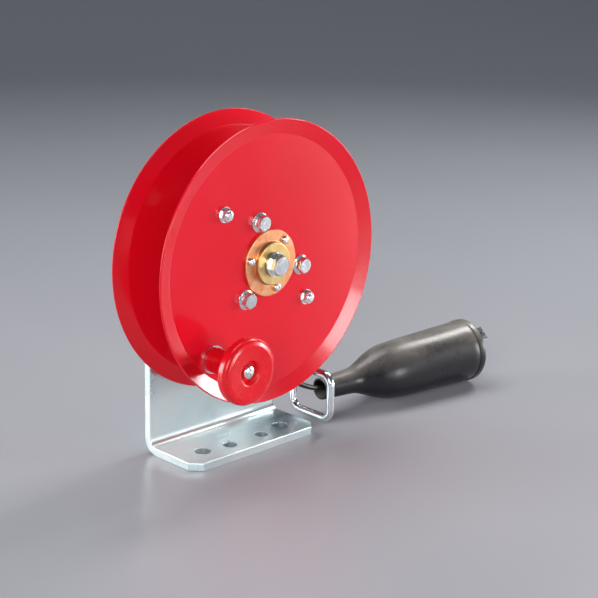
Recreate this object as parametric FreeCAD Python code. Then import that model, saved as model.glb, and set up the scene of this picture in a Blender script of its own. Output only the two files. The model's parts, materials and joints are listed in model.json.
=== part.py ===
"""Hand-cranked cable reel on an angle bracket, with a cable guide loop, a cable and a booted clip.

Millimetres. The origin lies on the underside of the bracket's foot, straight below the axle and midway
between the spool's rims. +Z is up, the axle runs along Y, and the crank side faces -Y. Each piece is
written to parts/NAME.step.
"""
import FreeCAD, Part
import math
import os
from FreeCAD import Matrix, Placement, Vector

# Spool
AXLE_HEIGHT = 142.5
SPOOL_RADIUS = 100.0
SPOOL_WIDTH = 51.0            # over the flared rims
SHEET = 1.6                   # flange sheet
FLAT_FACE = 21.5              # outer face of a flange's flat, from the spool's middle
RIM_SLOPE = 21.0              # of the flared rim, from the flat, in degrees
RIM_BEND = 1.5                # inside radius between the flat and the rim
RIM_EDGE = 0.5
CORE_RADIUS = 38.0
CORE_WALL = 2.0
HUB_TUBE_RADIUS = 23.0
HOLE_EASE = 0.2               # radial room round a bolt
SMALL_HOLE_EASE = 0.1

# Hub plates and bearings
HUB_PLATE_RADIUS = 23.5
HUB_PLATE_THICK = 2.0
HUB_PLATE_EDGE = 0.4
BOSS_RADIUS = 15.0
BOSS_FACE = 26.9              # outer face of a boss, from the spool's middle
BOSS_EDGE = 0.7
BUSH_OUTER = 9.0
BUSH_LENGTH = 15.0
SLEEVE_RADIUS = 6.0
RUNNING_GAP = 0.05
END_PLAY = 0.3

# Bracket
PLATE = 6.0
PLATE_FRONT = 34.2            # front face of the upright, along Y
FOOT_DEPTH = 55.0
BRACKET_WIDTH = 120.0
ABOVE_AXLE = 32.0
INNER_BEND = 6.0
CORNER_CUT = 7.5
PLATE_EDGE = 0.6              # rounding of the plate's outer edges
HOLE_EDGE = 0.4               # and of the foot holes' upper edges
SHARP = 20.0                  # faces that meet at more degrees than this form a sharp edge
OUTER_HOLE = {"radius": 6.0, "half_spacing": 38.0, "from_front": 18.0}
INNER_HOLE = {"radius": 5.0, "half_spacing": 15.5, "from_front": 14.2}

# Guide loop
ROD_RADIUS = 3.0
ROD_BEND = 8.0
LOOP_X = 66.0
LOOP_FRONT = -20.5
LOOP_REAR = 18.5
LOOP_LOW = 9.8
LOOP_HIGH = 43.5
LOOP_WELD = 22.0              # how far the rod runs in over the upright
LOOP_LEG_RADIUS = 2.95        # of the loop's second half: just under ROD_RADIUS, so that their joint is valid

# Fasteners: radii and heights, with flats across a hexagon
M8 = {"shank": 4.0, "flats": 13.0, "head": 5.5, "nut": 6.0, "collar": 6.1, "collar_high": 8.0, "tip": 0.9,
      "beyond_bracket": 11.3}
M6 = {"shank": 3.0, "flats": 10.0, "head": 4.4, "nut": 4.6, "flange": 7.1, "flange_high": 1.4,
      "flange_rim": 0.6, "skirt": 5.4, "beyond_flat": 7.4}
M5 = {"shank": 2.5, "flats": 8.0, "nut": 3.7, "plain_nut": 4.0, "flange": 5.5, "flange_high": 1.1,
      "head": 4.6, "head_high": 2.3, "crown": 1.2, "tip": 0.5, "beyond_flat": 6.2}
M3 = {"shank": 1.5, "head": 2.8, "head_high": 2.1, "crown": 1.3, "recess": 2.0, "recess_deep": 1.2,
      "deep": 9.0}
HEXAGON_TURN = 15             # degrees from +X to a hexagon's first corner
HEXAGON_FACE = 0.475          # chamfered face's radius over the flats
FLANGE_BOLTS = [(31.0, 107.2 + 120 * k) for k in range(3)]
HUB_SCREWS = [(19.3, 48.0 + 120 * k) for k in range(3)]
LUG_SCREW = (48.1, -40.9)
CLAMP_SCREW = (57.8, 136.0)

# Knob, with its places along Y measured forwards from the spool's middle
KNOB_PLACE = (77.8, -131.0)
KNOB_RADIUS = 23.0
KNOB_NECK = 8.8
KNOB_WAIST = {"radius": 8.3, "at": 36.0, "round": 40.0}
KNOB_SHOULDER = {"neck_at": 46.6, "neck_round": 3.4, "radius": 19.0, "at": 49.6, "round": 6.0}
KNOB_RIM = {"back": 51.2, "back_round": 2.6, "front": 58.6, "front_round": 3.6}
KNOB_CROWN = {"radius": 18.6, "round": 1.6}
KNOB_DISH = {"radius": 8.4, "at": 59.2, "round": 2.0, "well": 6.6}
KNOB_FACE = 60.0
KNOB_RECESS = 55.3
KNOB_SLEEVE = 4.0
COLLAR = 1.5
COLLAR_MARGIN = 1.0
KNOB_SCREW = {"high": 3.3, "side": 2.4, "crown": 2.6, "round": 2.0, "cross": (4.8, 1.0), "cross_deep": 1.8,
              "ends_at": 15.0}

# Axle stack
FRONT_WASHER = {"radius": 8.6, "thick": 2.0}
FRICTION_WASHER = {"radius": 14.0, "thick": 1.5}
DISC_SPRING = {"radius": 11.5, "dish": 1.3, "thick": 0.9}
SPACER_RADIUS = 12.0
REAR_WASHER = {"radius": 8.0, "thick": 1.6}

# Cable
CABLE = 3.9
WINDING_FRONT = -14.6
WINDING_STEP = 4.6            # the outer layer covers the part behind this
WINDING_RADIUS = 52.5
WINDING_INNER_LAYERS = 48.6
WINDING_ROUND = 1.8
TAIL_Y = -17.9
TAIL_FROM, TAIL_TO = -24.0, 152.0
TERMINAL = {"eye": 5.2, "barrel": 1.9, "barrel_from": -34.0, "tongue_wide": 3.6, "tongue_long": 9.0}
CLAMP_SHEET = 1.0
CLAMP_WIDTH = 9.0
CLAMP_TAB = 5.5               # how far the clamp reaches past its screw
CLAMP_EASE = 0.3              # room between the clamp's straight groove and the curved tail
WRAP_RADIUS = 50.8
WRAP_Y = 2.4
WRAP_LEAVES = -130.0          # where the cable leaves the drum, in degrees about the axle
WRAP_TURN = 290.0
CABLE_ROUTE = [
    (9.5, 2.8, 68.2), (40.0, 4.0, 43.4), (66.0, 5.5, 28.6), (84.5, 7.3, 22.1), (122.0, 4.8, 20.9),
]
ARC_SHARE = 0.45              # of the shorter run, that an arc of the free cable takes up

# Boot and clip
BOOT_MOUTH = Vector(83.7, 7.9, 21.8)
BOOT_END = Vector(233.4, -10.3, 25.5)
BOOT_WALL = 2.0
BOOT_PROFILE = [
    (0, 8.5), (18, 9.2), (32, 10.3), (42, 13.9), (52, 18.2), (63, 21.4), (78, 22.9), (110, 23.7), (144, 24.5),
]
LIP = {"length": 6.0, "radius": 25.3, "step": 0.6, "edge": 0.8}
CLIP_AT = 108.0               # pivot's distance from the boot's mouth
CLIP_LIFT = 7.0
CLIP_TILT = 13.0
CLIP_ROLL = 40.0
JAW_WIDTH = 11.0
JAW_SHEET = 1.2
JAW_SIDE_GAP = 0.4
JAW_TIP = 52.0
JAW_OUTLINE = [               # along the jaw from its pivot, away from the other jaw, corner radius
    (JAW_TIP, 0.2, 0.6), (JAW_TIP, 3.2, 1.0), (40.0, 4.8, 12), (16.0, 10.2, 8), (-16.0, 10.4, 20),
    (-50.0, 11.0, 1), (-50.0, 7.8, 1), (-20.0, 6.4, 6), (-9.0, -2.4, 3), (-5.0, -4.6, 3), (5.0, -4.6, 3),
    (9.0, -2.0, 3), (16.0, 2.6, 3), (32.0, 2.2, 8), (45.0, 0.2, 4),
]
JAW_HOLE = {"radius": 1.0, "at": 48.6}
PIN_RADIUS = 1.75
PIN_HEAD = {"radius": 2.7, "thick": 0.8}
SPRING = {"outer": 3.3, "inner": 2.1, "length": 4.6, "wire": 0.6, "leg_y": 1.6, "leg_foot": (-1.0, 2.7),
          "leg_toe": (-18.0, 8.2)}
CABLE_END_IN_CLIP = -46.0
FERRULE = {"radius": 2.7, "bore": 2.2, "from": -49.0, "to": -38.0, "z": 6.5, "closed_end": 2.0}

AXLE = Vector(0, 0, AXLE_HEIGHT)
Y_AXIS = Vector(0, 1, 0)


# Outlines and solids

def rounded(points, radii, closed):
    """Wire through the points, with a tangent arc of the given radius at each corner (0 leaves it sharp)."""
    count = len(points)
    starts, ends, arcs = [], [], []
    for i, (point, radius) in enumerate(zip(points, radii)):
        if radius == 0 or (not closed and i in (0, count - 1)):
            starts.append(point)
            ends.append(point)
            arcs.append(None)
            continue
        back = (points[i - 1] - point).normalize()
        ahead = (points[(i + 1) % count] - point).normalize()
        half = back.getAngle(ahead) / 2
        middle = (back + ahead).normalize()
        start = point + back * (radius / math.tan(half))
        end = point + ahead * (radius / math.tan(half))
        through = point + middle * (radius / math.sin(half) - radius)
        starts.append(start)
        ends.append(end)
        arcs.append(Part.Arc(start, through, end).toShape())
    edges = []
    for i in range(count):
        if arcs[i]:
            edges.append(arcs[i])
        following = (i + 1) % count
        last = i == count - 1
        if not (last and not closed) and ends[i].distanceToPoint(starts[following]) > 1e-6:
            edges.append(Part.LineSegment(ends[i], starts[following]).toShape())
    return Part.Wire(edges)


def outline(corners, place=lambda u, v: Vector(u, v, 0)):
    """Face inside corners given as (u, v) or (u, v, corner radius)."""
    points = [place(c[0], c[1]) for c in corners]
    radii = [c[2] if len(c) > 2 else 0 for c in corners]
    return Part.Face(rounded(points, radii, True))


def on_spool(place):
    """(x, z) from the axle of a (radius, degrees) place on the spool."""
    radius, angle = place
    return radius * math.cos(math.radians(angle)), radius * math.sin(math.radians(angle))


def rod_y(radius, y_from, y_to, at=(0, 0)):
    """Cylinder along Y, at (x, z) from the axle."""
    low, high = sorted((y_from, y_to))
    return Part.makeCylinder(radius, high - low, AXLE + Vector(at[0], low, at[1]), Y_AXIS)


def tube_y(outer, inner, y_from, y_to, at=(0, 0)):
    return rod_y(outer, y_from, y_to, at).cut(rod_y(inner, y_from, y_to, at))


def turned(corners, at=(0, 0)):
    """Solid of revolution about an axis along Y, from a profile in (radius, y)."""
    solid = outline(corners).revolve(Vector(0, 0, 0), Y_AXIS, 360)
    solid.translate(AXLE + Vector(at[0], 0, at[1]))
    return solid


def hexagon_y(flats, y_from, y_to, at=(0, 0), chamfered=0):
    """Hexagonal prism along Y. chamfered is +1 or -1 for the end, towards +Y or -Y, that is turned round."""
    low, high = sorted((y_from, y_to))
    corner, turn = flats / 2 / math.cos(math.radians(30)), HEXAGON_TURN
    turns = [on_spool((corner, angle)) for angle in range(turn, turn + 360, 60)]
    spots = [AXLE + Vector(at[0] + x, low, at[1] + z) for x, z in turns]
    prism = Part.Face(Part.makePolygon(spots + spots[:1])).extrude(Y_AXIS * (high - low))
    if not chamfered:
        return prism
    end, other = (high, low) if chamfered > 0 else (low, high)
    face_radius, wide = flats * HEXAGON_FACE, corner + 1
    drop = (wide - face_radius) * math.tan(math.radians(30))
    return prism.common(turned([(0, other), (wide, other), (wide, end - chamfered * drop), (face_radius, end),
                                (0, end)], at))


def group(shapes):
    return Part.makeCompound(shapes)


def mirrored_y(shape):
    """The same piece on the spool's other side."""
    return shape.mirror(Vector(0, 0, 0), Y_AXIS)


def sweep(path, radius):
    """Round rod along a wire."""
    start = path.OrderedVertexes[0].Point
    first = path.OrderedEdges[0]
    at_start = first.valueAt(first.FirstParameter).distanceToPoint(start) < 1e-6
    direction = first.tangentAt(first.FirstParameter if at_start else first.LastParameter)
    section = Part.Wire(Part.makeCircle(radius, start, direction))
    return path.makePipeShell([section], True, True)


def drum_arc(radius, y, angle_from, angle_to):
    """Arc edge about the axle."""
    spots = [on_spool((radius, a)) for a in (angle_from, (angle_from + angle_to) / 2, angle_to)]
    return Part.Arc(*[AXLE + Vector(x, y, z) for x, z in spots]).toShape()


# Spool

def flange():
    """Front flange: a flat disc with a rim that flares outwards, with every bolt hole."""
    slope = math.radians(RIM_SLOPE)
    thick_out, thick_back = SHEET * math.sin(slope), SHEET * math.cos(slope)
    rim_edge = SPOOL_RADIUS - thick_out
    bend = rim_edge - (SPOOL_WIDTH / 2 - FLAT_FACE) / math.tan(slope)
    corners = [
        (BOSS_RADIUS, -FLAT_FACE), (bend, -FLAT_FACE, RIM_BEND), (rim_edge, -SPOOL_WIDTH / 2, RIM_EDGE),
        (SPOOL_RADIUS, thick_back - SPOOL_WIDTH / 2, RIM_EDGE),
        (bend + SHEET * math.tan(slope / 2), SHEET - FLAT_FACE, RIM_BEND + SHEET),
        (BOSS_RADIUS, SHEET - FLAT_FACE),
    ]
    solid = turned(corners)
    holes = [(M6["shank"] + HOLE_EASE, place) for place in FLANGE_BOLTS]
    holes += [(M3["shank"] + HOLE_EASE, place) for place in HUB_SCREWS]
    holes += [(M5["shank"] + SMALL_HOLE_EASE, place) for place in (LUG_SCREW, CLAMP_SCREW, KNOB_PLACE)]
    for radius, place in holes:
        solid = solid.cut(rod_y(radius, -SPOOL_WIDTH, 0, on_spool(place)))
    return solid


def rear_flange():
    """The same pressing on the other side, with the hub and flange bolt holes only."""
    solid = mirrored_y(flange())
    inner = FLAT_FACE - SHEET
    for place in (LUG_SCREW, CLAMP_SCREW, KNOB_PLACE):
        solid = solid.fuse(rod_y(M5["shank"] + SMALL_HOLE_EASE, inner, FLAT_FACE, on_spool(place)))
    return solid.removeSplitter()


def drum_core():
    inner = FLAT_FACE - SHEET
    return tube_y(CORE_RADIUS, CORE_RADIUS - CORE_WALL, -inner, inner)


def hub_tube():
    """Thick tube between the flanges, tapped at both ends for the hub plate screws."""
    end = FLAT_FACE - SHEET
    solid = tube_y(HUB_TUBE_RADIUS, BUSH_OUTER, -end, end)
    for place in HUB_SCREWS:
        for side in (-1, 1):
            solid = solid.cut(rod_y(M3["shank"], side * end, side * (end - M3["deep"]), on_spool(place)))
    return solid


def hub_plate():
    """Front hub plate: flange, raised boss and the spigot that centres the flange sheet."""
    outer = -(FLAT_FACE + HUB_PLATE_THICK)
    corners = [
        (BUSH_OUTER, SHEET - FLAT_FACE), (BOSS_RADIUS, SHEET - FLAT_FACE), (BOSS_RADIUS, -FLAT_FACE),
        (HUB_PLATE_RADIUS, -FLAT_FACE), (HUB_PLATE_RADIUS, outer, HUB_PLATE_EDGE),
        (BOSS_RADIUS, outer, BOSS_EDGE), (BOSS_RADIUS, -BOSS_FACE, BOSS_EDGE), (BUSH_OUTER, -BOSS_FACE),
    ]
    solid = turned(corners)
    for place in HUB_SCREWS:
        solid = solid.cut(rod_y(M3["shank"] + HOLE_EASE, -SPOOL_WIDTH, 0, on_spool(place)))
    return solid


def hub_screws():
    """Three button-head screws in the front hub plate."""
    seat = -(FLAT_FACE + HUB_PLATE_THICK)
    screws = []
    for place in HUB_SCREWS:
        at = on_spool(place)
        top = seat - M3["head_high"]
        head = turned([(0, seat), (M3["head"], seat), (M3["head"], top, M3["crown"]), (0, top)], at)
        head = head.cut(hexagon_y(M3["recess"], top, top + M3["recess_deep"], at))
        screws.append(head.fuse(rod_y(M3["shank"], seat, seat + M3["deep"], at)).removeSplitter())
    return group(screws)


def front_bush():
    return tube_y(BUSH_OUTER, SLEEVE_RADIUS + RUNNING_GAP, -BOSS_FACE, BUSH_LENGTH - BOSS_FACE)


def flange_bolts():
    """Three long flange-head bolts that clamp both flanges on the drum core."""
    bolts = []
    for place in FLANGE_BOLTS:
        at = on_spool(place)
        seat = -FLAT_FACE
        under = seat - M6["flange_high"]
        rim = M6["flange_rim"]
        skirt = turned([(0, seat), (M6["flange"], seat), (M6["flange"], seat - rim, rim / 2),
                        (M6["skirt"], under), (0, under)], at)
        head = hexagon_y(M6["flats"], under, under - M6["head"], at, -1)
        shank = rod_y(M6["shank"], seat, FLAT_FACE + M6["beyond_flat"], at)
        bolts.append(skirt.multiFuse([head, shank]).removeSplitter())
    return group(bolts)


def flange_bolt_nuts():
    nuts = []
    for place in FLANGE_BOLTS:
        at = on_spool(place)
        face = FLAT_FACE + M6["flange_high"]
        skirt = tube_y(M6["flange"], M6["shank"], FLAT_FACE, face, at)
        end = face + M6["nut"]
        body = hexagon_y(M6["flats"], face, end, at, 1).cut(rod_y(M6["shank"], face, end, at))
        nuts.append(skirt.fuse(body).removeSplitter())
    return group(nuts)


def small_screws():
    """The two pan-head screws that hold the cable's tail, with their heads inside the spool."""
    screws = []
    under_head = SHEET - FLAT_FACE + CLAMP_SHEET
    top, tip = under_head + M5["head_high"], -FLAT_FACE - M5["beyond_flat"]
    for place in (LUG_SCREW, CLAMP_SCREW):
        at = on_spool(place)
        head = turned([(0, under_head), (M5["head"], under_head), (M5["head"], top, M5["crown"]), (0, top)],
                      at)
        shank = turned([(0, under_head), (0, tip), (M5["shank"], tip, M5["tip"]),
                        (M5["shank"], under_head)], at)
        screws.append(head.fuse(shank).removeSplitter())
    return group(screws)


def small_nuts():
    nuts = []
    for place in (LUG_SCREW, CLAMP_SCREW):
        at = on_spool(place)
        face = -FLAT_FACE - M5["flange_high"]
        skirt = tube_y(M5["flange"], M5["shank"], face, -FLAT_FACE, at)
        end = face - M5["nut"]
        body = hexagon_y(M5["flats"], face, end, at, -1).cut(rod_y(M5["shank"], face, end, at))
        nuts.append(skirt.fuse(body).removeSplitter())
    return group(nuts)


# Wound cable and its inner end

def winding():
    """Outer shape of the wound cable. Its front part is one layer lower, and the last turn lies on it."""
    rear = FLAT_FACE - SHEET
    return turned([
        (CORE_RADIUS, WINDING_FRONT), (WINDING_INNER_LAYERS, WINDING_FRONT, WINDING_ROUND),
        (WINDING_INNER_LAYERS, WINDING_STEP), (WINDING_RADIUS, WINDING_STEP, WINDING_ROUND),
        (WINDING_RADIUS, rear, WINDING_ROUND), (CORE_RADIUS, rear),
    ])


def cable_tail():
    """Inner end of the cable, along the front flange from its terminal past the clamp."""
    return sweep(Part.Wire([drum_arc(LUG_SCREW[0], TAIL_Y, TAIL_FROM, TAIL_TO)]), CABLE / 2)


def ring_terminal():
    inner_face = SHEET - FLAT_FACE
    at = on_spool(LUG_SCREW)
    eye = rod_y(TERMINAL["eye"], inner_face, inner_face + CLAMP_SHEET, at)
    barrel = sweep(Part.Wire([drum_arc(LUG_SCREW[0], TAIL_Y, TERMINAL["barrel_from"], TAIL_FROM)]),
                   TERMINAL["barrel"])
    wide, long = TERMINAL["tongue_wide"], TERMINAL["tongue_long"]
    tongue = Part.makeBox(wide, CLAMP_SHEET, long, Vector(LUG_SCREW[0] - wide / 2, inner_face, 0))
    tongue.rotate(Vector(0, 0, 0), Y_AXIS, -LUG_SCREW[1])
    tongue.translate(AXLE)
    return eye.multiFuse([barrel, tongue]).cut(rod_y(M5["shank"], -SPOOL_WIDTH, 0, at)).removeSplitter()


def tail_clamp():
    """Sheet clamp that holds the tail against the flange beside its screw."""
    tab_edge, angle = CLAMP_SCREW[0] + CLAMP_TAB, CLAMP_SCREW[1]
    face = SHEET - FLAT_FACE
    tail = LUG_SCREW[0]
    groove = CABLE / 2 + CLAMP_EASE
    top, bend = TAIL_Y + CABLE / 2, CABLE / 2
    outer, outer_bend = groove + CLAMP_SHEET, bend + CLAMP_SHEET / 2
    strap = outline([
        (tab_edge, face), (tail + groove, face), (tail + groove, top, bend), (tail - groove, top, bend),
        (tail - groove, face), (tail - outer, face), (tail - outer, top + CLAMP_SHEET, outer_bend),
        (tail + outer, top + CLAMP_SHEET, outer_bend), (tail + outer, face + CLAMP_SHEET),
        (tab_edge, face + CLAMP_SHEET),
    ])
    solid = strap.extrude(Vector(0, 0, CLAMP_WIDTH))
    solid.translate(Vector(0, 0, -CLAMP_WIDTH / 2))
    solid.rotate(Vector(0, 0, 0), Y_AXIS, -angle)
    solid.translate(AXLE)
    return solid.cut(rod_y(M5["shank"], -SPOOL_WIDTH, 0, on_spool(CLAMP_SCREW)))


# Knob

def crank_knob():
    """Mushroom knob with a dished front, free to turn on its sleeve."""
    bore = KNOB_SLEEVE + RUNNING_GAP
    base = -(FLAT_FACE + COLLAR + END_PLAY)
    return turned([
        (bore, base), (KNOB_NECK, base), (KNOB_WAIST["radius"], -KNOB_WAIST["at"], KNOB_WAIST["round"]),
        (KNOB_NECK, -KNOB_SHOULDER["neck_at"], KNOB_SHOULDER["neck_round"]),
        (KNOB_SHOULDER["radius"], -KNOB_SHOULDER["at"], KNOB_SHOULDER["round"]),
        (KNOB_RADIUS, -KNOB_RIM["back"], KNOB_RIM["back_round"]),
        (KNOB_RADIUS, -KNOB_RIM["front"], KNOB_RIM["front_round"]),
        (KNOB_CROWN["radius"], -KNOB_FACE, KNOB_CROWN["round"]),
        (KNOB_DISH["radius"], -KNOB_DISH["at"], KNOB_DISH["round"]),
        (KNOB_DISH["well"], -KNOB_RECESS), (bore, -KNOB_RECESS),
    ], on_spool(KNOB_PLACE))


def knob_collar():
    bore = M5["shank"] + SMALL_HOLE_EASE
    return tube_y(KNOB_NECK + COLLAR_MARGIN, bore, -FLAT_FACE, -FLAT_FACE - COLLAR, on_spool(KNOB_PLACE))


def knob_sleeve():
    bore = M5["shank"] + SMALL_HOLE_EASE
    return tube_y(KNOB_SLEEVE, bore, -FLAT_FACE - COLLAR, -KNOB_RECESS - END_PLAY, on_spool(KNOB_PLACE))


def knob_screw():
    """Pan-head screw with a cross recess, through the sleeve into its nut."""
    at = on_spool(KNOB_PLACE)
    seat = -KNOB_RECESS - END_PLAY
    top = seat - KNOB_SCREW["high"]
    side = seat - KNOB_SCREW["side"]
    solid = turned([(0, seat), (M5["head"], seat), (M5["head"], side, M5["crown"]),
                    (KNOB_SCREW["crown"], top, KNOB_SCREW["round"]), (0, top)], at)
    for wide, high in (KNOB_SCREW["cross"], KNOB_SCREW["cross"][::-1]):
        corner = AXLE + Vector(at[0] - wide / 2, top, at[1] - high / 2)
        solid = solid.cut(Part.makeBox(wide, KNOB_SCREW["cross_deep"], high, corner))
    return solid.fuse(rod_y(M5["shank"], seat, -KNOB_SCREW["ends_at"], at)).removeSplitter()


def knob_nut():
    inner = SHEET - FLAT_FACE
    at = on_spool(KNOB_PLACE)
    end = inner + M5["plain_nut"]
    return hexagon_y(M5["flats"], inner, end, at, 1).cut(rod_y(M5["shank"], inner, end, at))


# Axle

def axle_bolt():
    seat = -(BOSS_FACE + END_PLAY + FRONT_WASHER["thick"])
    end = PLATE_FRONT + PLATE + M8["beyond_bracket"]
    shank = turned([(0, seat), (M8["shank"], seat), (M8["shank"], end, M8["tip"]), (0, end)])
    return hexagon_y(M8["flats"], seat, seat - M8["head"], (0, 0), -1).fuse(shank).removeSplitter()


def axle_washer():
    face = -(BOSS_FACE + END_PLAY)
    return tube_y(FRONT_WASHER["radius"], M8["shank"] + HOLE_EASE, face - FRONT_WASHER["thick"], face)


def axle_sleeve():
    """Sleeve clamped between the front washer and the upright, on which both bushes turn."""
    return tube_y(SLEEVE_RADIUS, M8["shank"] + HOLE_EASE, -(BOSS_FACE + END_PLAY), PLATE_FRONT)


def friction_washer():
    face = BOSS_FACE + END_PLAY
    bore = SLEEVE_RADIUS + SMALL_HOLE_EASE
    return tube_y(FRICTION_WASHER["radius"], bore, face, face + FRICTION_WASHER["thick"])


def disc_spring():
    """Shallow cone between the friction washer and the spacer, which gives the spool its drag."""
    face = BOSS_FACE + END_PLAY + FRICTION_WASHER["thick"]
    inner, outer = SLEEVE_RADIUS + HOLE_EASE, DISC_SPRING["radius"]
    dish, thick = DISC_SPRING["dish"], DISC_SPRING["thick"]
    return turned([(inner, face + dish), (inner, face + dish + thick), (outer, face + thick), (outer, face)])


def spacer_collar():
    face = BOSS_FACE + END_PLAY + FRICTION_WASHER["thick"] + DISC_SPRING["dish"] + DISC_SPRING["thick"]
    return tube_y(SPACER_RADIUS, SLEEVE_RADIUS + SMALL_HOLE_EASE, face, PLATE_FRONT)


def rear_washer():
    rear = PLATE_FRONT + PLATE
    return tube_y(REAR_WASHER["radius"], M8["shank"] + HOLE_EASE, rear, rear + REAR_WASHER["thick"])


def lock_nut():
    """Hexagon lock nut with the round collar of its insert."""
    face = PLATE_FRONT + PLATE + REAR_WASHER["thick"]
    shoulder, end = face + M8["nut"], face + M8["collar_high"]
    hexagon = hexagon_y(M8["flats"], face, shoulder, (0, 0), -1)
    collar = turned([(0, shoulder), (M8["collar"], shoulder), (M8["collar"], end, M8["tip"]), (0, end)])
    return hexagon.fuse(collar).cut(rod_y(M8["shank"], face, end)).removeSplitter()


# Bracket and guide loop

def eased(solid, radius):
    """The solid with its sharp edges rounded."""
    sharp = []
    for edge in solid.Edges:
        middle = edge.valueAt((edge.FirstParameter + edge.LastParameter) / 2)
        faces = solid.ancestorsOfType(edge, Part.Face)
        normals = [face.normalAt(*face.Surface.parameter(middle)) for face in faces]
        if len(normals) == 2 and normals[0].getAngle(normals[1]) > math.radians(SHARP):
            sharp.append(edge)
    return solid.makeFillet(radius, sharp)


def bracket():
    """Bent angle bracket: foot towards -Y, upright behind the spool, with its outer corners cut off."""
    rear = PLATE_FRONT + PLATE
    front = rear - FOOT_DEPTH
    top = AXLE_HEIGHT + ABOVE_AXLE
    half = BRACKET_WIDTH / 2
    section = outline([
        (front, 0), (rear, 0, INNER_BEND + PLATE), (rear, top), (PLATE_FRONT, top),
        (PLATE_FRONT, PLATE, INNER_BEND), (front, PLATE),
    ], lambda y, z: Vector(-half, y, z))
    bent = section.extrude(Vector(BRACKET_WIDTH, 0, 0))
    foot_blank = outline([
        (-half, front + CORNER_CUT), (-half + CORNER_CUT, front), (half - CORNER_CUT, front),
        (half, front + CORNER_CUT), (half, rear + 1), (-half, rear + 1),
    ]).extrude(Vector(0, 0, top))
    upright_blank = outline([
        (-half, 0), (half, 0), (half, top - CORNER_CUT), (half - CORNER_CUT, top), (-half + CORNER_CUT, top),
        (-half, top - CORNER_CUT),
    ], lambda x, z: Vector(x, front, z)).extrude(Vector(0, FOOT_DEPTH, 0))
    solid = eased(bent.common(foot_blank).common(upright_blank), PLATE_EDGE)
    for hole in (OUTER_HOLE, INNER_HOLE):
        for side in (-1, 1):
            centre = Vector(side * hole["half_spacing"], front + hole["from_front"], -1)
            solid = solid.cut(Part.makeCylinder(hole["radius"], PLATE + 2, centre))
    tops = [edge for edge in solid.Edges if edge.isClosed() and abs(edge.CenterOfMass.z - PLATE) < 0.001]
    solid = solid.makeFillet(HOLE_EDGE, tops)
    return solid.cut(rod_y(M8["shank"] + HOLE_EASE, PLATE_FRONT - 1, rear + 1))


def guide_loop():
    """Bent rod, welded along the upright's front face, with the end of its loop welded to its top bar."""
    rear = PLATE_FRONT - ROD_RADIUS
    points = [
        Vector(LOOP_X - LOOP_WELD, rear, LOOP_HIGH), Vector(LOOP_X, rear, LOOP_HIGH),
        Vector(LOOP_X, LOOP_FRONT, LOOP_HIGH), Vector(LOOP_X, LOOP_FRONT, LOOP_LOW),
        Vector(LOOP_X, LOOP_REAR, LOOP_LOW), Vector(LOOP_X, LOOP_REAR, LOOP_HIGH),
    ]
    seam = points[3] + Vector(0, 0, ROD_BEND + 1)
    upper = sweep(rounded(points[:3] + [seam], [0, ROD_BEND - 2, ROD_BEND, 0], False), ROD_RADIUS)
    lower = sweep(rounded([seam] + points[3:], [0, ROD_BEND, ROD_BEND, 0], False), LOOP_LEG_RADIUS)
    return upper.fuse(lower).removeSplitter()


# Boot, clip and free cable

def frame_of(origin, x_axis, z_hint):
    """Placement whose X runs along x_axis, with Z as near z_hint as it can be."""
    x = Vector(x_axis).normalize()
    z = (z_hint - x * z_hint.dot(x)).normalize()
    y = z.cross(x)
    rows = [*zip(x, y, z, origin), (0, 0, 0, 1)]
    return Placement(Matrix(*[value for row in rows for value in row]))


BOOT_FRAME = frame_of(BOOT_MOUTH, BOOT_END - BOOT_MOUTH, Vector(0, 0, 1))
BOOT_LENGTH = (BOOT_END - BOOT_MOUTH).Length


def clip_frame():
    """The clip lies rolled and tilted in the boot, so that its tip rests by the rim."""
    roll, tilt = math.radians(CLIP_ROLL), math.radians(CLIP_TILT)
    lift = Vector(0, -math.sin(roll), math.cos(roll))
    turn = BOOT_FRAME.Rotation
    along = Vector(math.cos(tilt), 0, 0) + lift * math.sin(tilt)
    origin = BOOT_FRAME.multVec(Vector(CLIP_AT, 0, 0) + lift * CLIP_LIFT)
    return frame_of(origin, turn.multVec(along), turn.multVec(lift))


CLIP_FRAME = clip_frame()


def placed(shape, placement):
    shape.Placement = placement.multiply(shape.Placement)
    return shape


def rubber_boot():
    """Bottle-shaped boot: neck, shoulder, long body and a thicker lip, open at both ends."""
    def side(inset):
        curve = Part.BSplineCurve()
        curve.interpolate([Vector(s, r - inset, 0) for s, r in BOOT_PROFILE])
        return curve.toShape()

    last, lip_start = BOOT_LENGTH, BOOT_LENGTH - LIP["length"]
    first_s, first_r = BOOT_PROFILE[0]
    end_s, end_r = BOOT_PROFILE[-1]
    rim = [
        Vector(end_s, end_r, 0), Vector(lip_start, end_r, 0),
        Vector(lip_start + LIP["step"], LIP["radius"], 0),
        Vector(last - LIP["edge"], LIP["radius"], 0), Vector(last, LIP["radius"] - LIP["edge"], 0),
        Vector(last, end_r - BOOT_WALL, 0), Vector(end_s, end_r - BOOT_WALL, 0),
    ]
    edges = [Part.LineSegment(a, b).toShape() for a, b in zip(rim, rim[1:])]
    mouth = Part.LineSegment(Vector(first_s, first_r - BOOT_WALL, 0), Vector(first_s, first_r, 0)).toShape()
    profile = Part.Face(Part.Wire(Part.__sortEdges__([side(0), side(BOOT_WALL), mouth] + edges)))
    return placed(profile.revolve(Vector(0, 0, 0), Vector(1, 0, 0), 360), BOOT_FRAME)


def jaw(width, up):
    """Folded sheet jaw: a web along the back and two side walls with ears round the pin."""
    def slab(half_width, drop):
        face = outline(JAW_OUTLINE, lambda x, z: Vector(x, -half_width, up * (z - drop)))
        return face.extrude(Vector(0, 2 * half_width, 0))

    return slab(width / 2, 0).cut(slab(width / 2 - JAW_SHEET, JAW_SHEET))


def pin_hole(radius):
    return Part.makeCylinder(radius, 2 * JAW_WIDTH, Vector(0, -JAW_WIDTH, 0), Y_AXIS)


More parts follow.
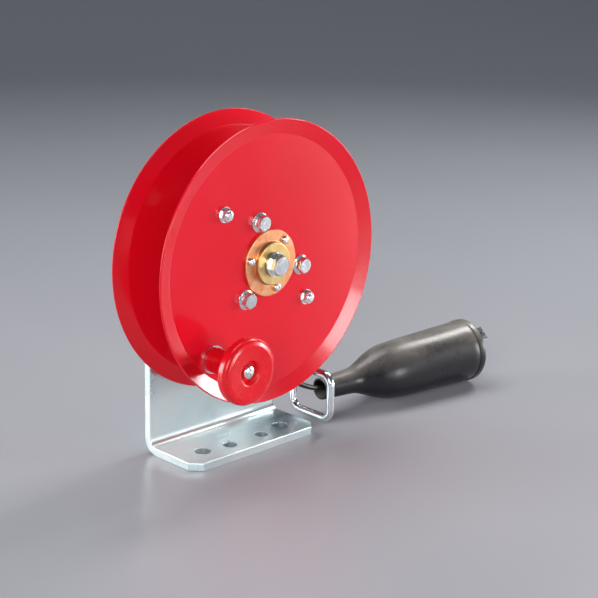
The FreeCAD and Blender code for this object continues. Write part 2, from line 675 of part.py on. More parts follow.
def fixed_jaw():
    tip_hole = Part.makeCylinder(JAW_HOLE["radius"], JAW_WIDTH, Vector(JAW_HOLE["at"], 0, -JAW_SHEET))
    return placed(jaw(JAW_WIDTH, 1).cut(pin_hole(PIN_RADIUS)).cut(tip_hole), CLIP_FRAME)


def moving_jaw():
    width = JAW_WIDTH - 2 * (JAW_SHEET + JAW_SIDE_GAP)
    return placed(jaw(width, -1).cut(pin_hole(PIN_RADIUS + RUNNING_GAP)), CLIP_FRAME)


def clip_pin():
    half, thick = JAW_WIDTH / 2, PIN_HEAD["thick"]
    pin = Part.makeCylinder(PIN_RADIUS, 2 * half, Vector(0, -half, 0), Y_AXIS)
    heads = [Part.makeCylinder(PIN_HEAD["radius"], thick, Vector(0, y, 0), Y_AXIS)
             for y in (-half - thick, half)]
    return placed(pin.multiFuse(heads).removeSplitter(), CLIP_FRAME)


def clip_spring():
    """Torsion spring round the pin: its coil, and a leg to each jaw's back."""
    start, length = Vector(0, -SPRING["length"] / 2, 0), SPRING["length"]
    coil = Part.makeCylinder(SPRING["outer"], length, start, Y_AXIS)
    coil = coil.cut(Part.makeCylinder(SPRING["inner"], length, start, Y_AXIS))
    legs = []
    for side in (-1, 1):
        foot, toe = (Vector(x, SPRING["leg_y"] * side, z * side)
                     for x, z in (SPRING["leg_foot"], SPRING["leg_toe"]))
        legs.append(Part.makeCylinder(SPRING["wire"], (toe - foot).Length, foot, toe - foot))
    return placed(coil.multiFuse(legs).removeSplitter(), CLIP_FRAME)


def cable_ferrule():
    start, along = Vector(FERRULE["from"], 0, FERRULE["z"]), Vector(1, 0, 0)
    length = FERRULE["to"] - FERRULE["from"]
    ferrule = Part.makeCylinder(FERRULE["radius"], length, start, along)
    bore = Part.makeCylinder(FERRULE["bore"], length - FERRULE["closed_end"], start, along)
    return placed(ferrule.cut(bore), CLIP_FRAME)


def cord_radii(points):
    """Largest easy arc at each inner point: a share of the shorter run over the tangent of half the turn."""
    radii = [0]
    for before, point, after in zip(points, points[1:], points[2:]):
        arriving, leaving = point - before, after - point
        half = arriving.getAngle(leaving) / 2
        radii.append(ARC_SHARE * min(arriving.Length, leaving.Length) / math.tan(half))
    return radii + [0]


def free_cable():
    """Last turn on the drum, then the run down through the guide loop and the boot's neck to the clip."""
    leaves_x, leaves_z = on_spool((WRAP_RADIUS, WRAP_LEAVES))
    leaves = AXLE + Vector(leaves_x, WRAP_Y, leaves_z)
    end = CLIP_FRAME.multVec(Vector(CABLE_END_IN_CLIP, 0, FERRULE["z"]))
    points = [leaves] + [Vector(*p) for p in CABLE_ROUTE] + [end]
    radii = cord_radii(points)
    print("cable route", [tuple(round(c, 1) for c in p) for p in points])
    print("cable arc radii", [round(r, 1) for r in radii[1:-1]])
    wrap = drum_arc(WRAP_RADIUS, WRAP_Y, WRAP_LEAVES - WRAP_TURN, WRAP_LEAVES)
    path = Part.Wire([wrap] + rounded(points, radii, False).OrderedEdges)
    tube = sweep(path, CABLE / 2)
    print("cable length %.1f, volume over section times length %.4f"
          % (path.Length, tube.Volume / (math.pi * CABLE ** 2 / 4 * path.Length)))
    return tube


PIECES = {
    "angle_bracket": bracket,
    "cable_guide_loop": guide_loop,
    "axle_bolt": axle_bolt,
    "axle_front_washer": axle_washer,
    "axle_sleeve": axle_sleeve,
    "friction_washer": friction_washer,
    "disc_spring": disc_spring,
    "spacer_collar": spacer_collar,
    "axle_rear_washer": rear_washer,
    "axle_lock_nut": lock_nut,
    "front_flange": flange,
    "rear_flange": rear_flange,
    "drum_core": drum_core,
    "hub_tube": hub_tube,
    "front_hub_plate": hub_plate,
    "rear_hub_plate": lambda: mirrored_y(hub_plate()),
    "front_hub_screws": hub_screws,
    "rear_hub_screws": lambda: mirrored_y(hub_screws()),
    "front_bush": front_bush,
    "rear_bush": lambda: mirrored_y(front_bush()),
    "flange_bolts": flange_bolts,
    "flange_bolt_nuts": flange_bolt_nuts,
    "tail_screws": small_screws,
    "tail_screw_nuts": small_nuts,
    "wound_cable": winding,
    "cable_tail": cable_tail,
    "ring_terminal": ring_terminal,
    "tail_clamp": tail_clamp,
    "crank_knob": crank_knob,
    "knob_collar": knob_collar,
    "knob_sleeve": knob_sleeve,
    "knob_screw": knob_screw,
    "knob_nut": knob_nut,
    "cable": free_cable,
    "rubber_boot": rubber_boot,
    "clip_fixed_jaw": fixed_jaw,
    "clip_moving_jaw": moving_jaw,
    "clip_pin": clip_pin,
    "clip_spring": clip_spring,
    "cable_ferrule": cable_ferrule,
}

os.makedirs("parts", exist_ok=True)
for name, make in PIECES.items():
    shape = make()
    problems = "" if shape.isValid() and shape.Volume > 0 else "  NOT A VALID SOLID"
    shape.exportStep("parts/%s.step" % name)
    print("%-18s %2d solid(s) %10.1f mm3%s" % (name, len(shape.Solids), shape.Volume, problems))
for label, vector in (("clip pivot", CLIP_FRAME.Base), ("pin axis", CLIP_FRAME.Rotation.multVec(Y_AXIS)),
                      ("jaw tips", CLIP_FRAME.multVec(Vector(JAW_TIP, 0, 0))),
                      ("jaws point", CLIP_FRAME.Rotation.multVec(Vector(1, 0, 0)))):
    print(label, [round(c, 6) for c in vector])
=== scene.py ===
"""Looks of the hand-cranked cable reel: materials, cable, boot, clip spring, threads and welds.

Metres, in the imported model's frame: +Z up, the axle along Y, the crank side facing -Y.
"""

import json
import math

import bmesh
import bpy
from mathutils import Matrix, Vector


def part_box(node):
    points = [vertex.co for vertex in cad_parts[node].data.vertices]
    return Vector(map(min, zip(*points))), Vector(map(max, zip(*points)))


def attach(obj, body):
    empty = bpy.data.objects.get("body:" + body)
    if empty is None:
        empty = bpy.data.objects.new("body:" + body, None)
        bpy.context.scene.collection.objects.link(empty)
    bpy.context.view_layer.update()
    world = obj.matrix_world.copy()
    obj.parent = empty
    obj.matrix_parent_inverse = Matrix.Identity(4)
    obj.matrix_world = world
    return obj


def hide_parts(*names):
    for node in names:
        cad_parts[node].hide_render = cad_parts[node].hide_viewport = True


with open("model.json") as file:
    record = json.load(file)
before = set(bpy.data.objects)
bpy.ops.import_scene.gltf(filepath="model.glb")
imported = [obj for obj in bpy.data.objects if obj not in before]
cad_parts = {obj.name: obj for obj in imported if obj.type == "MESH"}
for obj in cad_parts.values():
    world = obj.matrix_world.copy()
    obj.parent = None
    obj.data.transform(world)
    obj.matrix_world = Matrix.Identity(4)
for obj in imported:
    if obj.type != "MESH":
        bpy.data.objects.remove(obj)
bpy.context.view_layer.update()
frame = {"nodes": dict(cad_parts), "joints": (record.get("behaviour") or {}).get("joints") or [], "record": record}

MM = 0.001

# Camera, at the photograph's angle
CAMERA_AZIMUTH = -45.02
CAMERA_ELEVATION = 16.77
CAMERA_ROLL = 1.29
CAMERA_TARGET = Vector((0.05151, 0.0, 0.10113))
CAMERA_DISTANCE = 1.1538
CAMERA_LENS = 95.83

# Spool
AXLE = Vector((0.0, 0.0, 142.5 * MM))
CABLE = 3.9 * MM
LAYER_RADII = (40.0 * MM, 43.4 * MM, 46.8 * MM, 50.5 * MM)
LAYER_FRONT = -12.6 * MM
LAYER_REAR = 17.9 * MM
LAYER_ARC = 7.5 * 360                  # degrees of winding in a full layer
LAYER_CLIMB = 54.0                     # and from one layer up to the next
LAST_LAYER_TURNS = 3
LAST_LAYER_END = 6.3 * MM              # along the axle, where the last layer stops
LAST_SHIFT = 65.0                      # degrees from there to the free cable's turn
WOUND_RADIUS = 0.985 * CABLE / 2       # a little thin, so that crossing layers overlap less
TAIL_RADIUS = 48.1 * MM
TAIL_Y = -17.9 * MM
TAIL_START = -24.0
TAIL_ARC = 170.0
TAIL_DROP = 100.0                      # degrees from the clamp's height down to the first layer

# Free cable, with the route's points as in the CAD model
WRAP_RADIUS = 50.8 * MM
WRAP_Y = 2.4 * MM
WRAP_LEAVES = -130.0                   # degrees round the axle, where the cable leaves the drum
WRAP_TURN = 290.0                      # degrees that it lies on the drum before that
CABLE_ROUTE_MM = [
    (-32.7, 2.4, 103.6), (9.5, 2.8, 68.2), (40.0, 4.0, 43.4), (66.0, 5.5, 28.6), (84.5, 7.3, 22.1),
    (122.0, 4.8, 20.9), (144.7, -1.4, 25.6),
]

# Boot, with its profile's stations and radii in millimetres from the mouth
BOOT_MOUTH = Vector((83.7, 7.9, 21.8)) * MM
BOOT_END = Vector((233.4, -10.3, 25.5)) * MM
BOOT_WALL = 2.0
BOOT_PROFILE = [
    (0, 8.5), (18, 9.2), (32, 10.3), (42, 13.9), (52, 18.2), (63, 21.4), (78, 22.9), (110, 23.7), (144, 24.5),
]
BOOT_LIP = 25.1
BOOT_LIP_LENGTH = 6.0
BOOT_STIFF = 40                        # station where the stiff neck ends
BOOT_SOFTENS = 40                      # and the length over which the body becomes uneven
BOOT_SHRINK = 0.25                     # brings the uneven body inside the moulded outline
# Unevenness: height, waves round the boot, phase, length along the boot per radian
BOOT_WAVES = [(0.22, 2, 0.7, 38), (0.12, 3, 0.0, -21), (0.07, 5, 0.0, 13)]

# Threaded ends on the spool, as (radius, degrees) from the axle
FLANGE_BOLTS = [(31.0, 107.2 + 120 * k) for k in range(3)]
TAIL_SCREWS = [(48.1, -40.9), (57.8, 136.0)]

# Welds of the guide loop's rod to the bracket
ROD_RADIUS = 3.0 * MM
PLATE = 6.0 * MM
WELD_RADIUS = 1.15 * MM
WELD_RIPPLE = 0.12 * MM
WELD_OUT = 2.35 * MM                   # from the rod's axis, up or down
WELD_OFF_PLATE = 0.55 * MM

# Clip spring
SPRING_WIRE = 0.55 * MM
SPRING_COIL = 2.7 * MM
SPRING_TURNS = 3.6
SPRING_HALF_WIDTH = 1.7 * MM
SPRING_START = 100                     # degrees round the pin
SPRING_LEG = (-18 * MM, 1.6 * MM, 8.0 * MM)     # a leg's end: ahead of the pin, along it and above it


# Materials ------------------------------------------------------------------------------------------------

class Shader:
    """One Principled material, built from coordinates in the object's own space."""

    def __init__(self, name, **constants):
        self.material = bpy.data.materials.new(name)
        self.material.use_nodes = True
        self.nodes = self.material.node_tree.nodes
        self.links = self.material.node_tree.links
        self.principled = self.nodes["Principled BSDF"]
        for socket, value in constants.items():
            self.principled.inputs[socket.replace("_", " ")].default_value = value
        self.coordinates = self.nodes.new("ShaderNodeTexCoord").outputs["Object"]
        self.height = None

    def feed(self, value, socket):
        """Links an output to a socket, or sets a plain value on it."""
        if isinstance(value, bpy.types.NodeSocket):
            self.links.new(value, socket)
        else:
            socket.default_value = value

    def stretched(self, scale):
        """Coordinates scaled along each axis."""
        mapping = self.nodes.new("ShaderNodeMapping")
        mapping.inputs["Scale"].default_value = scale
        self.links.new(self.coordinates, mapping.inputs["Vector"])
        return mapping.outputs["Vector"]

    def noise(self, scale, detail=3.0, roughness=0.5, stretch=(1, 1, 1), distortion=0.0):
        node = self.nodes.new("ShaderNodeTexNoise")
        for socket, value in (("Scale", scale), ("Detail", detail), ("Roughness", roughness),
                              ("Distortion", distortion)):
            node.inputs[socket].default_value = value
        self.links.new(self.stretched(stretch), node.inputs["Vector"])
        return node.outputs["Fac"]

    def ramp(self, value, *stops):
        """Colours at positions along the value, as (position, colour) or (position, grey)."""
        node = self.nodes.new("ShaderNodeValToRGB")
        elements = node.color_ramp.elements
        while len(elements) < len(stops):
            elements.new(0.5)
        for element, (position, colour) in zip(elements, stops):
            element.position = position
            grey = not hasattr(colour, "__len__")
            element.color = (colour, colour, colour, 1) if grey else (*colour, 1)
        self.links.new(value, node.inputs["Fac"])
        return node.outputs["Color"]

    def math(self, operation, first, second=0.0):
        node = self.nodes.new("ShaderNodeMath")
        node.operation = operation
        self.feed(first, node.inputs[0])
        self.feed(second, node.inputs[1])
        return node.outputs[0]

    def mix(self, factor, first, second):
        node = self.nodes.new("ShaderNodeMix")
        node.data_type = "RGBA"
        self.feed(factor, node.inputs["Factor"])
        for socket, colour in ((node.inputs[6], first), (node.inputs[7], second)):     # its colour sockets
            self.feed(colour if isinstance(colour, bpy.types.NodeSocket) else (*colour, 1), socket)
        return node.outputs[2]

    def separate(self):
        node = self.nodes.new("ShaderNodeSeparateXYZ")
        self.links.new(self.coordinates, node.inputs[0])
        return node.outputs

    def diagonal(self, first, second):
        """Square root of the sum of two values' squares."""
        return self.math("SQRT", self.math("ADD", self.math("MULTIPLY", first, first),
                                           self.math("MULTIPLY", second, second)))

    def from_axle(self):
        """Distance from the axle's line."""
        x, _, z = self.separate()
        return self.diagonal(x, self.math("SUBTRACT", z, AXLE.z))

    def facing_up(self):
        """Upward part of the surface's normal."""
        geometry = self.nodes.new("ShaderNodeNewGeometry")
        node = self.nodes.new("ShaderNodeSeparateXYZ")
        self.links.new(geometry.outputs["Normal"], node.inputs[0])
        return node.outputs["Z"]

    def bump(self, height, strength, distance):
        node = self.nodes.new("ShaderNodeBump")
        node.inputs["Strength"].default_value = strength
        node.inputs["Distance"].default_value = distance
        self.links.new(height, node.inputs["Height"])
        if self.height:
            self.links.new(self.height, node.inputs["Normal"])
        self.height = node.outputs["Normal"]
        self.links.new(self.height, self.principled.inputs["Normal"])

    def set(self, socket, value):
        self.feed(value, self.principled.inputs[socket])


def red_enamel():
    """Glossy baked enamel with a fine orange peel, sprayed a little unevenly."""
    s = Shader("red_enamel", Metallic=0.0, IOR=1.40, Coat_Weight=0.3, Coat_Roughness=0.08)
    s.set("Base Color", s.ramp(s.noise(8, 3, 0.5), (0.3, (0.76, 0.003, 0.016)), (0.7, (0.83, 0.005, 0.024))))
    s.set("Roughness", s.ramp(s.noise(60, 3, 0.5, (1, 1, 0.35)), (0.3, 0.19), (0.7, 0.23)))
    s.bump(s.noise(420, 2), 0.06, 0.0002)
    s.bump(s.noise(14, 0), 0.05, 0.0004)
    return s.material


def red_knob():
    """Moulded thermoset: deeper red, with a gloss that varies finely."""
    s = Shader("red_knob", Metallic=0.0, IOR=1.42, Coat_Weight=0.2, Coat_Roughness=0.05)
    s.set("Base Color", s.ramp(s.noise(26, 4), (0.3, (0.74, 0.003, 0.010)), (0.7, (0.82, 0.005, 0.016))))
    s.set("Roughness", s.ramp(s.noise(150, 6, 0.7), (0.35, 0.20), (0.7, 0.32)))
    s.bump(s.noise(260, 3), 0.04, 0.0002)
    return s.material


def zinc_plate():
    """Rolled plate under bright zinc: blue-green passivation in clouds, with the rolling lines along X."""
    s = Shader("zinc_plate", Metallic=0.88)
    clouds = s.noise(17, 3, 0.5, (0.6, 1, 1), 0.3)
    tint = s.ramp(clouds, (0.28, (0.66, 0.84, 0.87)), (0.45, (0.80, 0.96, 0.98)),
                  (0.60, (0.92, 1.0, 1.0)), (0.78, (0.94, 0.98, 1.0)))
    stains = s.ramp(s.noise(48, 4, 0.55), (0.60, 0.0), (0.80, 0.35))
    s.set("Base Color", s.mix(stains, tint, (0.55, 0.76, 0.78)))
    lines = s.noise(160, 3, 0.5, (0.05, 1, 1))
    wear = s.math("ADD", s.math("MULTIPLY", clouds, 0.75), s.math("MULTIPLY", lines, 0.25))
    s.set("Roughness", s.ramp(wear, (0.3, 0.24), (0.7, 0.36)))
    s.bump(lines, 0.02, 0.0002)
    s.bump(s.noise(26, 1), 0.05, 0.0005)
    return s.material


def zinc_rod():
    """Bright zinc on drawn rod, smoother than the plate."""
    s = Shader("zinc_rod", Metallic=1.0)
    clouds = s.noise(70, 4, 0.5)
    s.set("Base Color", s.ramp(clouds, (0.3, (0.72, 0.78, 0.82)), (0.55, (0.86, 0.91, 0.94)),
                               (0.75, (0.93, 0.95, 0.97))))
    s.set("Roughness", s.ramp(s.noise(240, 5, 0.6), (0.3, 0.13), (0.7, 0.26)))
    s.bump(s.noise(500, 3), 0.08, 0.0001)
    return s.material


def zinc_hardware():
    """Barrel-plated fasteners: bright, a little dinted, with a faint violet and green bloom."""
    s = Shader("zinc_hardware", Metallic=1.0)
    bloom_and_painted_sheen = s.noise(210, 3, 0.5, distortion=0.8)
    s.set("Base Color", s.ramp(bloom_and_painted_sheen, (0.3, (0.78, 0.80, 0.88)), (0.5, (0.92, 0.93, 0.94)),
                               (0.62, (0.88, 0.95, 0.92)), (0.8, (0.95, 0.88, 0.93))))
    s.set("Roughness", s.ramp(s.noise(420, 4, 0.6), (0.3, 0.15), (0.7, 0.30)))
    s.bump(s.noise(700, 3), 0.16, 0.00012)
    return s.material


def yellow_chromate():
    """Chromate over zinc: orange-gold on the flat of the plate, straw yellow on the boss."""
    s = Shader("yellow_chromate", Metallic=1.0)
    plate = s.ramp(s.noise(120, 4, 0.55, distortion=0.5), (0.3, (0.78, 0.28, 0.13)),
                   (0.5, (0.84, 0.36, 0.18)), (0.75, (0.88, 0.50, 0.28)))
    boss = s.ramp(s.noise(140, 4), (0.3, (0.66, 0.42, 0.15)), (0.7, (0.80, 0.60, 0.28)))
    reach = 0.03                                  # metres from the axle, at the ramp's end
    ring = s.ramp(s.math("MULTIPLY", s.from_axle(), 1 / reach), (0.498, 0.0), (0.512, 1.0))
    s.set("Base Color", s.mix(ring, boss, plate))
    s.set("Roughness", s.ramp(s.noise(300, 5, 0.6), (0.3, 0.26), (0.7, 0.4)))
    s.bump(s.noise(520, 3), 0.14, 0.00012)
    return s.material


def turned_metal(name, low, high, roughness=0.3):
    """Machined metal with fine feed lines round the part, spaced along the axle."""
    s = Shader(name, Metallic=1.0)
    s.set("Base Color", s.ramp(s.noise(90, 4), (0.3, low), (0.7, high)))
    lines = s.noise(900, 2, 0.5, (0.05, 1, 0.05))
    s.set("Roughness", s.ramp(lines, (0.3, roughness - 0.08), (0.7, roughness + 0.08)))
    s.bump(lines, 0.12, 0.0001)
    return s.material


def friction_fibre():
    """Pressed brown fibre, rough and dry."""
    s = Shader("friction_fibre", Metallic=0.0)
    s.set("Base Color", s.ramp(s.noise(700, 6, 0.7), (0.3, (0.10, 0.05, 0.03)), (0.7, (0.22, 0.13, 0.08))))
    s.set("Roughness", s.ramp(s.noise(200, 4), (0.3, 0.7), (0.7, 0.9)))
    s.bump(s.noise(900, 4), 0.4, 0.0002)
    return s.material


def black_cable():
    """Smooth flexible vinyl sheath with a little dust."""
    s = Shader("black_cable", Metallic=0.0, IOR=1.49)
    dust = s.ramp(s.noise(180, 6, 0.7), (0.5, 0.0), (0.85, 0.5))
    s.set("Base Color", s.mix(dust, (0.008, 0.008, 0.009), (0.03, 0.03, 0.032)))
    s.set("Roughness", s.ramp(s.noise(420, 5, 0.6), (0.3, 0.28), (0.7, 0.45)))
    s.bump(s.noise(1100, 3), 0.10, 0.0001)
    return s.material


def black_rubber():
    """Moulded rubber, satin, with scuffs, and a painted warm-grey sheen on the side that faces up, in place of the
    highlight from the light above.
    """
    s = Shader("black_rubber", Metallic=0.0, IOR=1.52)
    clouds = s.noise(30, 6, 0.62, (0.7, 1, 1), 0.4)
    fine = s.noise(330, 5, 0.7)
    # Painted sheen: a warm-grey colour mixed into the black where the surface faces up, mottled by the clouds,
    # standing in for the highlight from the light above.
    upward_sheen_mask = s.ramp(s.facing_up(), (0.30, 0.0), (0.95, 1.0))
    bloom_and_painted_sheen = s.math("MULTIPLY", upward_sheen_mask, s.ramp(clouds, (0.30, 0.25), (0.65, 1.0)))
    base = s.mix(bloom_and_painted_sheen, (0.008, 0.008, 0.011), (0.25, 0.235, 0.21))
    scuffs = s.ramp(s.noise(75, 8, 0.75, (0.4, 1, 1), 1.2), (0.64, 0.0), (0.74, 0.35))
    s.set("Base Color", s.mix(scuffs, base, (0.12, 0.115, 0.11)))
    wear = s.math("ADD", s.math("MULTIPLY", clouds, 0.6), s.math("MULTIPLY", fine, 0.4))
    s.set("Roughness", s.ramp(wear, (0.35, 0.24), (0.65, 0.38)))
    s.bump(fine, 0.14, 0.0003)
    s.bump(s.noise(60, 4), 0.20, 0.0006)
    return s.material


def weld_metal():
    """Zinc over a weld bead: duller than the plate, with brown heat marks."""
    s = Shader("weld_metal", Metallic=1.0)
    s.set("Base Color", s.ramp(s.noise(260, 5, 0.6), (0.3, (0.32, 0.29, 0.26)), (0.6, (0.62, 0.64, 0.66)),
                               (0.8, (0.75, 0.79, 0.82))))
    s.set("Roughness", s.ramp(s.noise(500, 4), (0.3, 0.3), (0.7, 0.55)))
    s.bump(s.noise(800, 4), 0.3, 0.0002)
    return s.material


MATERIALS = {
    "red_enamel": red_enamel(),
    "red_knob": red_knob(),
    "zinc_plate": zinc_plate(),
    "zinc_hardware": zinc_hardware(),
    "yellow_chromate": yellow_chromate(),
    "hub_aluminium": turned_metal("hub_aluminium", (0.70, 0.71, 0.73), (0.80, 0.81, 0.83)),
    "bush_bronze": turned_metal("bush_bronze", (0.42, 0.26, 0.12), (0.60, 0.42, 0.22), 0.42),
    "friction_fibre": friction_fibre(),
    "spring_steel": turned_metal("spring_steel", (0.36, 0.37, 0.40), (0.50, 0.51, 0.54), 0.28),
    "black_cable": black_cable(),
    "tinned_copper": turned_metal("tinned_copper", (0.66, 0.63, 0.58), (0.80, 0.77, 0.72), 0.32),
    "black_rubber": black_rubber(),
    "bright_steel": turned_metal("bright_steel", (0.64, 0.65, 0.67), (0.82, 0.83, 0.85), 0.22),
    "zinc_rod": zinc_rod(),
    "weld_metal": weld_metal(),
}


def paint(piece, material):
    """Gives a piece one material in place of its own."""
    piece.data.materials.clear()
    piece.data.materials.append(MATERIALS[material])


for row in frame["record"]["subparts"]:
    paint(frame["nodes"][row["node"]], row["material_slot"])
paint(frame["nodes"]["cable_guide_loop"], "zinc_rod")


# Helpers --------------------------------------------------------------------------------------------------

def placed(name, data):
    """New object in the scene."""
    item = bpy.data.objects.new(name, data)
    bpy.context.scene.collection.objects.link(item)
    return item


def piece_from(name, mesh_builder, body, slot, replaces=(), material=None):
    """New mesh piece that rides on a body and has its slot's material, unless it is given another."""
    mesh = bpy.data.meshes.new(name)
    built = bmesh.new()
    mesh_builder(built)
    bmesh.ops.recalc_face_normals(built, faces=built.faces)
    built.to_mesh(mesh)
    built.free()
    mesh.shade_smooth()
    mesh.set_sharp_from_angle(angle=math.radians(40))
    piece = placed(name, mesh)
    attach(piece, body)
    if replaces:
        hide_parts(*replaces)
    paint(piece, material or slot)
    return piece


def on_drum(radius, degrees, y):
    """Point at a radius and angle about the axle."""
    angle = math.radians(degrees)
    return AXLE + Vector((radius * math.cos(angle), y, radius * math.sin(angle)))


def skin(built, rings):
    """Faces between each ring of vertices and the next."""
    for ring, following in zip(rings, rings[1:]):
        for corners in zip(ring, ring[1:] + ring[:1], following[1:] + following[:1], following):
            built.faces.new(corners)


def tube(built, path, radius_at, sides):
    """Closed round tube along a list of points, its radius a function of the share of the way."""
    rings = []
    normal = None
    last = len(path) - 1
    for i, point in enumerate(path):
        along = (path[min(i + 1, last)] - path[max(i - 1, 0)]).normalized()
        if normal is None:
            normal = along.orthogonal().normalized()
        normal = (normal - along * normal.dot(along)).normalized()
        across = along.cross(normal)
        radius = radius_at(i / last)
        rings.append([
            built.verts.new(point + (normal * math.cos(a) + across * math.sin(a)) * radius)
            for a in (2 * math.pi * k / sides for k in range(sides))
        ])
    skin(built, rings)
    built.faces.new(rings[0])
    built.faces.new(rings[-1])


def smoothstep(t):
    """Eased step from 0 to 1, level outside that range."""
    t = min(max(t, 0.0), 1.0)
    return t * t * (3 - 2 * t)


# Camera ---------------------------------------------------------------------------------------------------

def make_camera():
    """Camera turned about its target and rolled a little."""
    azimuth, elevation, roll = (math.radians(a) for a in (CAMERA_AZIMUTH, CAMERA_ELEVATION, CAMERA_ROLL))
    back = Vector((math.sin(azimuth) * math.cos(elevation), -math.cos(azimuth) * math.cos(elevation),
                   math.sin(elevation)))
    right = Vector((math.cos(azimuth), math.sin(azimuth), 0.0))
    up = back.cross(right)
    turned_right = right * math.cos(roll) + up * math.sin(roll)
    turned_up = up * math.cos(roll) - right * math.sin(roll)
    data = bpy.data.cameras.new("camera")
    data.lens = CAMERA_LENS
    data.clip_start, data.clip_end = 0.01, 20
    camera = placed("camera", data)
    axes = Matrix((turned_right, turned_up, back)).transposed()
    camera.matrix_world = Matrix.Translation(CAMERA_TARGET + back * CAMERA_DISTANCE) @ axes.to_4x4()
    bpy.context.scene.camera = camera


make_camera()


# Free cable -----------------------------------------------------------------------------------------------

def free_cable():
    """Last turn on the drum, the run down through the guide loop, and the end in the clip's ferrule."""
    step = 15.0
    bulge = WRAP_RADIUS / math.cos(math.radians(step / 2))     # so that the spline's arc has WRAP_RADIUS
    turns = int(WRAP_TURN / step)
    first = WRAP_LEAVES - WRAP_TURN
    points = [on_drum(WRAP_RADIUS, first, WRAP_Y)]
    points += [on_drum(bulge, first + step * (k + 0.5), WRAP_Y) for k in range(turns)]
    points += [Vector(p) * MM for p in CABLE_ROUTE_MM]
    curve = bpy.data.curves.new("cable_run", "CURVE")
    curve.dimensions = "3D"
    curve.bevel_depth = 1.0               # times each point's radius
    curve.bevel_resolution = 6
    curve.resolution_u = 10
    curve.use_fill_caps = True
    spline = curve.splines.new("NURBS")
    spline.points.add(len(points) - 1)
    for place, point in zip(spline.points, points):
        place.co = (*point, 1)
        place.radius = CABLE / 2
    spline.order_u = 3
    spline.use_endpoint_u = True
    piece = placed("cable_run", curve)
    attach(piece, "stand")
    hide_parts("cable")
    piece.data.materials.append(MATERIALS["black_cable"])
    return piece, points[0]


# Wound cable ----------------------------------------------------------------------------------------------

def winding_path():
    """Centreline of the wound cable: tail, four layers to and fro, and on to the free cable's turn."""
    step = 7.5
    angle, radius, y = TAIL_START, TAIL_RADIUS, TAIL_Y
    path = [on_drum(radius, angle, y)]

    def run(degrees, radius_to, y_to):
        """Winds on by an angle, to another radius and place along the axle."""
        nonlocal angle, radius, y
        count = math.ceil(degrees / step)
        start_radius, start_y = radius, y
        for k in range(1, count + 1):
            share = k / count
            radius = start_radius + (radius_to - start_radius) * smoothstep(share)
            y = start_y + (y_to - start_y) * share
            path.append(on_drum(radius, angle + degrees * share, y))
        angle += degrees

    run(TAIL_ARC, TAIL_RADIUS, TAIL_Y)
    run(TAIL_DROP, LAYER_RADII[0], LAYER_FRONT)
    run(LAYER_ARC, LAYER_RADII[0], LAYER_REAR)
    run(LAYER_CLIMB, LAYER_RADII[1], LAYER_REAR)
    run(LAYER_ARC, LAYER_RADII[1], LAYER_FRONT)
    run(LAYER_CLIMB, LAYER_RADII[2], LAYER_FRONT)
    run(LAYER_ARC, LAYER_RADII[2], LAYER_REAR)
    run(LAYER_CLIMB, LAYER_RADII[3], LAYER_REAR)
    rest_of_turn = (WRAP_LEAVES - WRAP_TURN - LAST_SHIFT - angle) % 360
    run(rest_of_turn + 360 * LAST_LAYER_TURNS, LAYER_RADII[3], LAST_LAYER_END)
    run(LAST_SHIFT, WRAP_RADIUS, WRAP_Y)
    return path


def wound_cable():
    """The wound cable and its tail, as one tube."""
    def build(built):
        tube(built, winding_path(), lambda share: WOUND_RADIUS, 14)

    piece_from("wound_turns", build, "spool", "black_cable", ("wound_cable", "cable_tail"))


# Boot -----------------------------------------------------------------------------------------------------

def boot_axes():
    """Unit vectors along the boot, across it and up."""
    along = (BOOT_END - BOOT_MOUTH).normalized()
    up = (Vector((0, 0, 1)) - along * along.z).normalized()
    return along, up.cross(along), up


def smooth_profile(points, steps):
    """Points on a smooth curve through the profile's (station, radius) points, as Catmull-Rom spans."""
    out = []
    for i in range(len(points) - 1):
        before = points[max(i - 1, 0)]
        start, end = points[i], points[i + 1]
        after = points[min(i + 2, len(points) - 1)]
        slope_start = (end[1] - before[1]) / (end[0] - before[0])
        slope_end = (after[1] - start[1]) / (after[0] - start[0])
        width = end[0] - start[0]
        for k in range(steps):
            t = k / steps
            leave, arrive = t ** 3 - 2 * t ** 2 + t, t ** 3 - t ** 2
            radius = start[1] + (end[1] - start[1]) * smoothstep(t)
            radius += width * (leave * slope_start + arrive * slope_end)
            out.append((start[0] + width * t, radius))
    return out + [points[-1]]


def boot_section():
    """Closed profile, (station, radius) in mm: outside from the mouth to the lip, back along the inside."""
    length = (BOOT_END - BOOT_MOUTH).length / MM
    outside = smooth_profile(BOOT_PROFILE, 6)
    neck, body = BOOT_PROFILE[0][1], BOOT_PROFILE[-1][1]
    bore = body - BOOT_WALL
    lip = length - BOOT_LIP_LENGTH
    mouth_roll = [(along, neck - down)
                  for along, down in ((0.5, 1.55), (0.12, 1.1), (0.0, 0.7), (0.15, 0.25))]
    groove = [(lip - 1.0, body), (lip - 0.45, body - 0.12), (lip - 0.1, body + 0.02)]
    lip_front = [(lip + along, BOOT_LIP - down) for along, down in ((0.12, 0.35), (0.55, 0.06), (1.2, 0.0))]
    lip_back = [(length - before, BOOT_LIP - down)
                for before, down in ((1.6, 0.0), (0.8, 0.14), (0.3, 0.5), (0.0, 1.2))]
    bore_edge = [(length - before, bore + up) for before, up in ((0.0, 0.9), (0.3, 0.3), (0.9, 0.0))]
    outside = [(s, r) for s, r in outside if 0.4 < s < lip - 1.4]
    inside = [(s, r - BOOT_WALL) for s, r in reversed(outside)]
    return mouth_roll + outside + groove + lip_front + lip_back + bore_edge + inside


